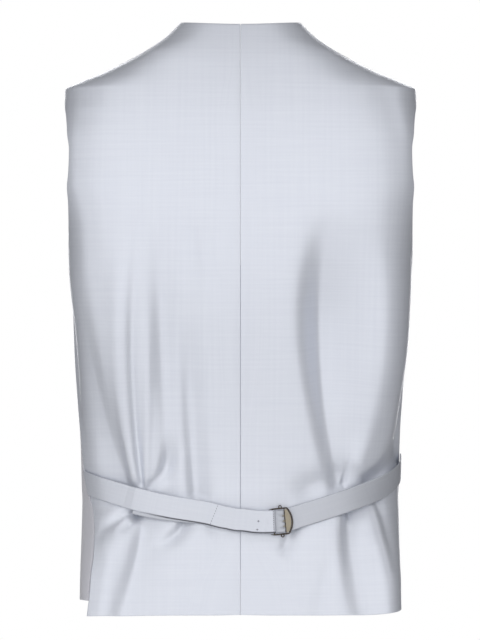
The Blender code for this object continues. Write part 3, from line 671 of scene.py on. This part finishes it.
def pressed(x, z, depth):
    # The cinch flattens what swells under it and presses the cloth in, by exp(-(s / run)^4)
    under = np.exp(-(((z - strapHeight(x)) / (cinch["pressRun"] * cinch["width"])) ** 4))
    return np.where(depth < 0, depth * (1 - under), depth) + cinch["press"] * under


def edgeLine(side, z, besideArm, inset):
    # Where a panel ends at the side: the seam, the armhole, or the shoulder ridge
    seam = along(sideSeam[side], "behind", z)
    seam = np.where(z >= panels["shoulderTip"], 0, seam)
    between = (z > panels["underarm"]) & (z < panels["shoulderTip"])
    return np.where(between, besideArm, seam) + inset


cuts = tableOf(  # each panel as it lies flat, in metres
    ("panel", "side", "width", "length", "area"),
    ("back", "left", 0.225, 0.585, 0.116),
    ("back", "right", 0.240, 0.585, 0.130),
    ("front", "left", 0.265, 0.605, 0.129),
    ("front", "right", 0.250, 0.605, 0.116),
)


def sewnPanel(panel, side, grid, girth, depth, materials):
    # Outer face = form - normal x depth, inner face = outer face - normal x thickness
    mirror = np.array([1 if side == "left" else -1, 1, 1])
    normal = formNormal(grid) * mirror
    outer = grid * mirror - normal * depth[..., None]
    inner = outer - normal * clothThick[panel]
    uv = np.stack([girth * mirror[0], grid[..., 2]], axis=-1)
    slot, sewnTo = ("satin", "front") if panel == "back" else ("suiting", "back")
    flip = (side == "left") == (panel == "back")
    piece = clothShell(f"{panel}_{side}_cloth", outer, inner, uv, flip)
    cut = next(row for row in rowsOf(cuts) if (row["panel"], row["side"]) == (panel, side))
    return finishPiece(piece, materials, slot, f"{panel}_{side}")


def backPanel(side, materials):
    # Its centre edge is the centre back, and its side edge the seam and the armhole
    half = clothThick["back"] / 2
    inset = panels["seamGap"] / 2 + half
    centreZ = rowHeights("back", panels["backHem"] + half)
    edgeZ = rowHeights("edge", panels["backHemSide"][side] + half)
    edgeY = edgeLine(side, edgeZ, along(armhole, "back", edgeZ), inset)
    edgeY = edgeY + panels["ventGap"] * (1 - smooth(edgeZ, panels["ventOpen"], panels["ventTop"]))
    centreX = np.full(len(edgeZ), inset)
    grid, girth = laidGrid(centreX, centreZ, edgeY, edgeZ, 1, panels["backColumns"])
    x, z = grid[..., 0] * (1 if side == "left" else -1), grid[..., 2]
    depth = pressed(x, z, foldDepth(x, z, backFolds) * seamFade(grid, edgeY))
    return sewnPanel("back", side, grid, girth, depth, materials)


def frontPanel(side, materials):
    # As the back. The right one sinks where it passes under the left one
    half = clothThick["front"] / 2
    inset = panels["seamGap"] / 2 + half
    centreZ = rowHeights("front", frontEdge["height"][-1] + half)
    edgeZ = rowHeights("edge", panels["frontHemSide"] + half)
    edgeY = edgeLine(side, edgeZ, -along(armhole, "front", edgeZ), -inset)
    level = panels["hemBend"] * (1 - smooth(edgeZ, panels["frontHemSide"], panels["ventOpen"]))
    across = along(frontEdge, "across", centreZ) + half
    grid, girth = laidGrid(across, centreZ, edgeY, edgeZ, -1, panels["frontColumns"], level)
    x, z = grid[..., 0], grid[..., 2]
    lapped = (1 - smooth(x, *lap["across"])) * (1 - smooth(z, *lap["height"]))
    depth = foldDepth(x, z, frontFolds) * seamFade(grid, edgeY) * (1 - lapped)
    if side == "right":
        depth = depth + lap["sunk"] * lapped
    return sewnPanel("front", side, grid, girth, depth, materials)


# The cinch


def cinchFrame(girth, drop=0):
    # Centre, direction, downward and outward vectors at distances round the form
    def placeAt(distance):
        height = strapHeight(distance) - drop
        turned = np.linspace(0, math.radians(cinch["sweepEnd"]), cinch["sweep"])
        have = walked(onForm(math.pi / 2 - turned, height[:, None]))
        angle = np.array([np.interp(abs(d), w, turned) for d, w in zip(distance, have)])
        place = onForm(math.pi / 2 - angle, height)
        place[:, 0] *= np.where(distance < 0, -1, 1)
        return place

    girth = np.asarray(girth, float)
    centre = placeAt(girth)
    run = unit(placeAt(girth + cinch["step"]) - placeAt(girth - cinch["step"]))
    out = formNormal(centre)
    out = unit(out - run * (out * run).sum(axis=1, keepdims=True))
    return centre, run, np.cross(out, run), out


strapRound = tableOf(  # half of the strap's section, from its under face to its top face
    ("across", "out"),
    (0, -0.5), (0.55, -0.5), (0.86, -0.49), (0.955, -0.42), (0.99, -0.25), (1, 0),
    (0.99, 0.25), (0.955, 0.42), (0.86, 0.52), (0.55, 0.56), (0, 0.58),
)
teethDents = tableOf(  # the creases that the teeth press into the right strap
    ("down", "slope", "deep"),
    (5.4, 0.3, 1), (0.2, -0.1, 0.8), (-5, -0.25, 1),
)
dentShape = {"width": 0.9, "start": -4, "fade": (2.5, 8.5)}  # measured from the plate's chord


def dentDepth(girth, down):
    # Narrow troughs, exp(-(s / width)^2), that run from the plate and fade towards the bar
    shut = buckleShape["girth"] - buckleShape["chord"]
    fade = 1 - smooth(girth, shut + dentShape["fade"][0], shut + dentShape["fade"][1])
    depth = 0 * down
    for dent in rowsOf(teethDents):
        away = down - dent["down"] - dent["slope"] * (girth - shut)
        depth = depth + dent["deep"] * np.exp(-((away / dentShape["width"]) ** 2))
    return depth * fade * smooth(girth, shut + dentShape["start"], shut)


def ribbon(name, girth, lift, material, drop=0, lean=0, dents=False):
    # Its section along the cinch: middle + down (width / 2) across + face ply out
    centre, run, down, out = cinchFrame(girth, drop)
    leant = lean * np.clip(1 - np.abs(girth - girth[0]) / cinch["leanRun"], 0, 1)
    slant = run * leant[:, None]
    middle = centre + out * lift[:, None]
    run = unit(np.gradient(middle, axis=0))
    face = unit(np.cross(run, down))
    half = cinch["width"] / 2
    across, thick = strapRound["across"], strapRound["out"]
    have = walked(np.stack([across * half, thick * cinch["ply"]], axis=1))
    even = np.linspace(0, have[-1], cinch["section"])
    across, thick = np.interp(even, have, across), np.interp(even, have, thick)
    across = np.concatenate([across, -across[-2:0:-1]])
    thick = np.concatenate([thick, thick[-2:0:-1]])[None] * cinch["ply"]
    if dents:
        sunk = dentDepth(np.reshape(girth, (-1, 1)), across[None] * half)
        thick = thick - sunk * (thick > 0)
    rings = middle[:, None] + (down * half - slant)[:, None] * across[:, None]
    rings = rings + face[:, None] * thick[..., None]
    far = walked(middle)
    uv = np.stack(np.broadcast_arrays(far[:, None], across * half), axis=-1).reshape(-1, 2)
    piece = meshOf(name, rings.reshape(-1, 3), ringFaces(rings), uv)
    return finishPiece(piece, [material], "satin", name.replace("_cloth", ""))


buckleShape = {
    "girth": -39,  # where its middle sits round the form
    "wire": 1.5, "halfHeight": 12.4,
    "bar": 7.4, "arm": 6.6, "armMiddle": 1.5, "bow": 10.9, "corner": 1.2,
    "eyeAt": -0.3, "eyeRing": 1.35, "eyeWire": 1.1,
    "plateThick": 0.9, "chord": 4.4, "rim": 0.12,
    "tooth": 3, "toothAt": (-5, 0, 5), "toothHalf": (0.9, 0.2),  # at root and point
    "tip": 5.2, "tipFrom": 1.5, "tipBend": 0.7, "taper": 0.8,  # the wire's ends past the bar
    "hinge": 0.6, "hingeRod": 0.42, "hingeLift": 0.25,
}

tailLift = cinch["lift"] + cinch["ply"] / 2
underLift = tailLift + cinch["ply"] + cinch["plyGap"]
overLift = underLift + cinch["ply"] + cinch["plyGap"]
barTurn = buckleShape["wire"] / 2 + cinch["gap"] + cinch["ply"] / 2
barLift = underLift + barTurn


def girthOfSeam(side):
    # Distance round the form from the centre back to the end of a strap
    height = cinch["seamAt"][side]
    last = angleBehind(along(sideSeam[side], "behind", height), height)
    line = onForm(np.linspace(math.pi / 2, float(last), cinch["sweep"]), height)
    return float(walked(line)[-1]) - cinch["seamInset"][side]


def leftStrap(material):
    # From its seam over the right strap's tail, round the bar in a half circle of radius barTurn,
    # and back under itself
    bar = buckleShape["girth"] + buckleShape["bar"]
    tail, fold, ramp = cinch["tailEnd"], cinch["foldEnd"], cinch["ramp"]
    leave, *climb = cinch["climb"]
    run = np.linspace(girthOfSeam("left"), bar + leave, 240)
    lift = np.interp(
        -run,
        [-tail - ramp, -tail, -fold - ramp, -fold, -bar - leave],
        [tailLift, underLift, underLift, overLift, overLift],
    )
    turn = np.radians(np.linspace(90, -90, 15))
    back = np.linspace(bar + cinch["foldFrom"], fold, 40)
    girth = np.concatenate([run, bar + np.array(climb), bar - barTurn * np.cos(turn), back])
    rise = [overLift + cinch["climbLift"], barLift + barTurn - cinch["climbShort"]]
    under = np.full(len(back), underLift)
    lift = np.concatenate([lift, rise, barLift + barTurn * np.sin(turn), under])
    return ribbon("strap_left_cloth", girth, lift, material, lean=cinch["lean"])


def rightStrap(material):
    # From its seam under the buckle and the left strap, sinking by drop x smooth(girth)
    first, last = (buckleShape["girth"] + near for near in cinch["teethRows"])
    before = np.linspace(-girthOfSeam("right"), first, 190, endpoint=False)
    near = np.linspace(first, last, 50, endpoint=False)
    girth = np.concatenate([before, near, np.linspace(last, cinch["tailEnd"] - 1, 150)])
    drop = cinch["tailDrop"] * smooth(girth, cinch["tailFrom"], cinch["tailEnd"])
    lift = np.full(len(girth), tailLift)
    return ribbon("strap_right_cloth", girth, lift, material, drop, dents=True)


# The buckle


def onCinch(local):
    # Points given along the cinch, up it and off it, set at the buckle's middle
    centre, run, down, out = (v[0] for v in cinchFrame([buckleShape["girth"]]))
    return centre + out * barLift + local @ np.array([run, -down, out])


def bowRadius(shape=buckleShape):
    # Radius of the arc that rises from the arms' ends to the bow: (h^2 + r^2) / 2r
    rise = shape["bow"] - shape["arm"]
    return (shape["halfHeight"] ** 2 + rise**2) / (2 * rise)


def atHeight(line, height):
    # Flat points, raised to a height
    return np.column_stack([line, np.full(len(line), height)])


def arcPoints(centre, radius, first, last, count):
    # centre + r (cos a, sin a), a in degrees
    turn = np.radians(np.linspace(first, last, count))
    return np.stack([centre[0] + radius * np.cos(turn), centre[1] + radius * np.sin(turn)], axis=1)


def buckleFrame(material, shape=buckleShape):
    # A tube along bar, arms and bow, a ring for each hinge eye, and a tapered tip on each arm
    bar, half, corner, radius = shape["bar"], shape["halfHeight"], shape["corner"], bowRadius()
    spread = math.degrees(math.asin(half / radius))
    line = np.concatenate(
        [
            [(bar, 0)],
            arcPoints((bar - corner, half - corner), corner, 0, 90, 8),
            [(shape["armMiddle"], half)],
            arcPoints((radius - shape["bow"], 0), radius, 180 - spread, 180 + spread, 40),
            [(shape["armMiddle"], -half)],
            arcPoints((bar - corner, corner - half), corner, -90, 0, 8),
        ]
    )
    tubes = [(tubeRings(atHeight(line, 0), shape["wire"] / 2, 14, True), True)]
    for end in (1, -1):
        centre = (shape["eyeAt"], end * (half + shape["eyeRing"]))
        eye = atHeight(arcPoints(centre, shape["eyeRing"], 0, 345, 24), 0)
        tubes.append((tubeRings(eye, shape["eyeWire"] / 2, 10, True), True))
        t = np.linspace(0, 1, 9)
        out, up = bar - shape["tipFrom"] + shape["tip"] * t, half - shape["tipBend"] * t * t
        tip = np.column_stack([out, end * up, 0 * t])
        tubes.append((tubeRings(tip, shape["wire"] / 2 * (1.02 - shape["taper"] * t), 12), False))
    tubes = [(onCinch(rings), closed) for rings, closed in tubes]
    return finishPiece(tubesOf("buckle_wire", tubes), [material], "buckle_wire", "buckle_frame")


def bucklePlate(material, shape=buckleShape):
    # A crescent inside the bow with teeth along its chord, its rims bevelled
    clear = shape["wire"] / 2 + cinch["gap"]
    inside, half, chord = bowRadius() - clear, shape["halfHeight"] - clear, shape["chord"]
    spread = math.degrees(math.asin(half / inside))
    tip, (root, point) = shape["tooth"] - chord, shape["toothHalf"]
    tooth = ((-chord, -root), (tip, -point), (tip, point), (-chord, root))
    teeth = [(x, at + y) for at in shape["toothAt"] for x, y in tooth]
    bow = arcPoints((bowRadius() - shape["bow"], 0), inside, 180 - spread, 180 + spread, 36)
    line = np.concatenate([[(-chord, half)], bow, [(-chord, -half)], teeth])
    layers = np.stack([atHeight(line, h * shape["plateThick"] / 2) for h in (-1, 1)])
    piece = tubesOf("buckle_teeth", [(onCinch(layers), False)])
    piece.data.shade_flat()
    bevel = piece.modifiers.new("rim", "BEVEL")
    bevel.width, bevel.segments, bevel.limit_method = shape["rim"] * mm, 2, "ANGLE"
    return finishPiece(piece, [material], "buckle_plate", "buckle_plate")


def buckleHinge(material, shape=buckleShape):
    # The rod that the plate turns on, along its chord from arm to arm
    t = np.linspace(-1, 1, 12)
    reach = shape["halfHeight"] - shape["wire"] / 2
    across, lift = shape["hinge"] - shape["chord"], shape["hingeLift"]
    line = np.column_stack([np.full(12, across), t * reach, np.full(12, lift)])
    rings = onCinch(tubeRings(line, shape["hingeRod"], 10))
    return finishPiece(tubesOf("buckle_hinge", [(rings, False)]), [material], "buckle_wire")


# Buttons

buttonShape = {
    "heights": (-286, -342, -398, -454, -508),
    "holeAt": 1.5, "hole": 0.85, "holeDepth": 1.5,
    "holeSlope": (0.22, 0.12),  # of its wall, inside that radius and outside it
    "face": 2,  # only what is higher has holes
    "thread": 0.16, "strandShift": 0.2, "strandFoot": 2, "strandRise": 0.75,
}
buttonProfile = tableOf(
    ("radius", "out"),
    (0, 2.3), (4.5, 2.45), (5, 2.75), (5.5, 3.15), (6.3, 3.25), (7, 3.05), (7.45, 2.5),
    (7.6, 1.9), (7.4, 1.35), (6.6, 0.9), (4.6, 0.4), (0.01, 0.4),
)


def frontPlace(local, z):
    # Points given across, up and out from the front, set on its middle at a height
    seat = onForm(angleAcross(0, z, -1), z)
    out = formNormal(seat)
    across = unit(np.cross((0, 0, 1), out))
    return seat + local @ np.array([across, np.cross(out, across), out])


def addButton(number, material, thread, shape=buttonShape):
    # A turned profile of r and h, sunk by depth x (1 - smooth(d)) at its four holes. The thread
    # crosses them in arcs, foot + rise sqrt(1 - t^4)
    sides, count = 96, 110
    turn = np.arange(sides) * 2 * math.pi / sides
    far = walked(np.stack([buttonProfile["radius"], buttonProfile["out"]], axis=1))
    even = np.linspace(0, far[-1], count)
    radius, out = (np.interp(even, far, buttonProfile[n]) for n in ("radius", "out"))
    x, y = radius[:, None] * np.cos(turn), radius[:, None] * np.sin(turn)
    height = np.repeat(out[:, None], sides, axis=1)
    low, high = shape["hole"] - shape["holeSlope"][0], shape["hole"] + shape["holeSlope"][1]
    for a, b in ((-1, -1), (-1, 1), (1, -1), (1, 1)):
        away = np.hypot(x - a * shape["holeAt"], y - b * shape["holeAt"])
        sunk = 1 - smooth(away, low, high)
        height -= shape["holeDepth"] * sunk * (height > shape["face"])
    rings = np.stack([x, y, height], axis=-1)[::-1]
    z = shape["heights"][number - 1]
    piece = tubesOf(f"button_{number}_horn", [(frontPlace(rings, z), False)])
    finishPiece(piece, [material], "button", f"button_{number}")
    t = np.linspace(-1, 1, 15)
    rise = shape["strandFoot"] + shape["strandRise"] * np.sqrt(np.clip(1 - t**4, 0, 1))
    reach = t * (shape["holeAt"] + 0.1)
    strands = []
    for a, b in ((1, 1), (1, -1)):
        for shift in (-shape["strandShift"], shape["strandShift"]):
            line = np.stack([a * reach + shift * b, b * reach - shift * a, rise], axis=1)
            strands.append((frontPlace(tubeRings(line, shape["thread"], 8), z), False))
    finishPiece(tubesOf(f"button_{number}_thread", strands), [thread], "suiting")


buttonholeShape = {
    "middle": 6.2, "half": (8.4, 0.75), "square": 0.4,
    "eyelet": 0.9, "eyeletRun": 1.6,  # how much wider it is at its outer end
    "lift": 0.12, "thread": 0.5, "ripple": 0.09, "stitches": 65, "points": 260,
}


def addButtonhole(number, material, shape=buttonholeShape):
    # Purl stitches round the button's slit: a tube of radius
    # r + ripple sin(n t) along across = m + a cos t, up = b sign(sin t) |sin t|^square x eyelet
    z = buttonShape["heights"][number - 1]
    t = np.arange(shape["points"]) / shape["points"] * 2 * math.pi
    across = shape["middle"] + shape["half"][0] * np.cos(t)
    eyelet = 1 + shape["eyelet"] * np.exp(-(((across + 1) / shape["eyeletRun"]) ** 2))
    up = shape["half"][1] * signedPower(np.sin(t), shape["square"]) * eyelet
    line = np.stack([across, up, np.full(len(t), shape["lift"])], axis=1)
    radius = shape["thread"] + shape["ripple"] * np.sin(t * shape["stitches"])
    seat = onForm(angleAcross(across, z, -1), z)
    rings = frontPlace(tubeRings(line, radius, 8, True), z)
    rings[..., 1] += (seat[:, 1] - onForm(-math.pi / 2, z)[1])[:, None]
    piece = tubesOf(f"buttonhole_{number}", [(rings, True)])
    return finishPiece(piece, [material], "suiting")


# Stitching on the cinch


stitchRows = tableOf(  # where rows cross or follow the left strap, and their own stitches
    ("name", "girth0", "girth1", "up0", "up1", "count", "half", "radius", "raised"),
    ("fold", 26.5, 24.5, -9, 9, 8, 0.75, 0.2, 0),
    ("bar", -31.8, -31.8, -9.4, 9.4, 10, 0.75, 0.3, 1),  # raised onto the turn over the bar
)
crossMarks = tableOf(("girth", "up"), (-17, 0.6), (-16.3, -7.6))
stitchShape = {
    "crown": 0.56,  # the strap's top face above its middle, in plies
    "lift": 0.12, "sunk": 0.3, "lean": 0.1,
    "cross": (1.3, 1.1), "crossRadius": 0.3,  # half lengths of a cross mark's two threads
}


def strapStitches(material, shape=stitchShape):
    # Short threads on the left strap, top + lift - sunk t^4 high, t from -1 to 1
    top = overLift + cinch["ply"] * shape["crown"] + shape["lift"]
    tubes = []
    t = np.linspace(-1, 1, 9)

    def addStitch(girth, up, alongGirth, alongUp, radius, raised=0):
        centre, run, down, out = (v[0] for v in cinchFrame([girth]))
        height = top - shape["sunk"] * t**4 + raised * (barLift + barTurn - overLift)
        line = centre + np.outer(t * alongGirth, run) - np.outer(up + t * alongUp, down)
        line = line + np.outer(height, out)
        tubes.append((tubeRings(line, radius * np.sqrt(1.05 - t**2), 8, level=out), False))

    for row in rowsOf(stitchRows):
        for share in np.linspace(0, 1, row["count"]):
            girth = row["girth0"] + (row["girth1"] - row["girth0"]) * share
            up = row["up0"] + (row["up1"] - row["up0"]) * share
            addStitch(girth, up, shape["lean"], row["half"], row["radius"], row["raised"])
    for girth, up in zip(crossMarks["girth"], crossMarks["up"]):
        addStitch(girth, up, shape["cross"][0], 0, shape["crossRadius"])
        addStitch(girth, up, 0, shape["cross"][1], shape["crossRadius"])
    return finishPiece(tubesOf("strap_stitches", tubes), [material], "satin")


# Stage


floorShape = {"radius": 6, "height": -1.45, "sides": 96, "colour": (0.86, 0.86, 0.86)}


def addFloor(shape=floorShape):
    # A pale disc at the height of a wearer's feet
    sides = shape["sides"]
    ring = arcPoints((0, 0), shape["radius"], 0, 360 - 360 / sides, sides)
    floor = meshOf("floor", atHeight(ring, shape["height"]) / mm, [list(range(sides))])
    colour = (*shape["colour"], 1)
    floor.data.materials.append(newMaterial("pale floor", Roughness=0.9, Base_Color=colour)[0])


studio = {
    "ambient": 0.1,  # the white world's light on the object
    "lights": tableOf(
        ("name", "x", "y", "z", "width", "height", "power"),
        ("wall", 0.15, 3.3, 0.3, 6.4, 3.8, 114),
        ("key", 3.2, 1.4, 0.2, 2, 2.6, 21),
        ("fill", -3, 1.2, 1.9, 1.6, 1.6, 17),
        ("top", 0.3, 1.4, 2.7, 2.2, 1.4, 16),
        ("front", 0, -2.6, 0.2, 1.8, 1.8, 55),
    ),
    "aim": (0, 0, -0.3),
    "cameraSide": 0.0005,
    "cameraAway": 3,
    "cameraHeight": -0.294,
    "viewHeight": 0.6272,  # what the frame shows at the back's surface
    "viewAt": 2.95,
    "sensor": 36,
}


def addStudio():
    # World strength = seen (1 - ambient) + ambient, and area lights turned to the aim
    scene = bpy.context.scene
    scene.view_settings.view_transform = "Standard"
    world = bpy.data.worlds.new("studio")
    world.use_nodes = True
    tree = world.node_tree
    back = tree.nodes["Background"]
    seen = addNode(tree, "ShaderNodeLightPath")
    strength = seen * (1 - studio["ambient"]) + studio["ambient"]
    back.inputs["Color"].default_value = (1, 1, 1, 1)
    tree.links.new(strength.socket, back.inputs["Strength"])
    scene.world = world
    for light in rowsOf(studio["lights"]):
        data = bpy.data.lights.new(light["name"], "AREA")
        data.shape = "RECTANGLE"
        data.size, data.size_y, data.energy = light["width"], light["height"], light["power"]
        lamp = newObject(light["name"], data)
        lamp.location = [light[axis] for axis in "xyz"]
        towards = Vector(studio["aim"]) - lamp.location
        lamp.rotation_euler = towards.to_track_quat("-Z", "Y").to_euler()


def addCamera():
    # Square from behind, its lens = sensor x distance / height shown
    data = bpy.data.cameras.new("camera")
    camera = newObject("camera", data)
    camera.location = [studio[name] for name in ("cameraSide", "cameraAway", "cameraHeight")]
    camera.rotation_euler = (math.pi / 2, 0, math.pi)
    data.sensor_fit = "VERTICAL"
    data.sensor_height = studio["sensor"]
    data.lens = studio["sensor"] * studio["viewAt"] / studio["viewHeight"]
    bpy.context.scene.camera = camera


addCamera()
addStudio()
addFloor()
print("camera, lights and floor are set")

satin = satinMaterial("silver satin")
lining = satinMaterial("lining satin", tint=0.93)
# The straps are the back's satin painted darker as painted shade, the right one most; the left one
# also gets a painted shadow along its lower edge
shadedStrapSatin = satinMaterial("shaded left strap satin", tint=0.92, rim=0.9)
shadedSatin = satinMaterial("shaded right strap satin", tint=0.76)
suiting = suitingMaterial("melange suiting")
bronze = metalMaterial("dark bronze", (0.045, 0.038, 0.035), 0.3, (0.12, 0.10, 0.085))
champagne = metalMaterial("champagne metal", (0.25, 0.22, 0.17), 0.42, (0.33, 0.30, 0.24))
horn = hornMaterial("grey horn")
darkThread = threadMaterial("strap thread", (0.16, 0.16, 0.20))
suitingThread = threadMaterial("suiting thread", (0.34, 0.34, 0.37))
print("materials are made")

for side in ("left", "right"):
    backPanel(side, [satin, lining])
    frontPanel(side, [suiting, lining])
print("panels are laid")

leftStrap(shadedStrapSatin)
rightStrap(shadedSatin)
print("straps are laid")

buckleFrame(bronze)
bucklePlate(champagne)
buckleHinge(bronze)
strapStitches(darkThread)
print("the buckle and the strap's stitches are on")

for number in range(1, len(buttonShape["heights"]) + 1):
    addButton(number, horn, suitingThread)
    addButtonhole(number, suitingThread)
print("the buttons are on")
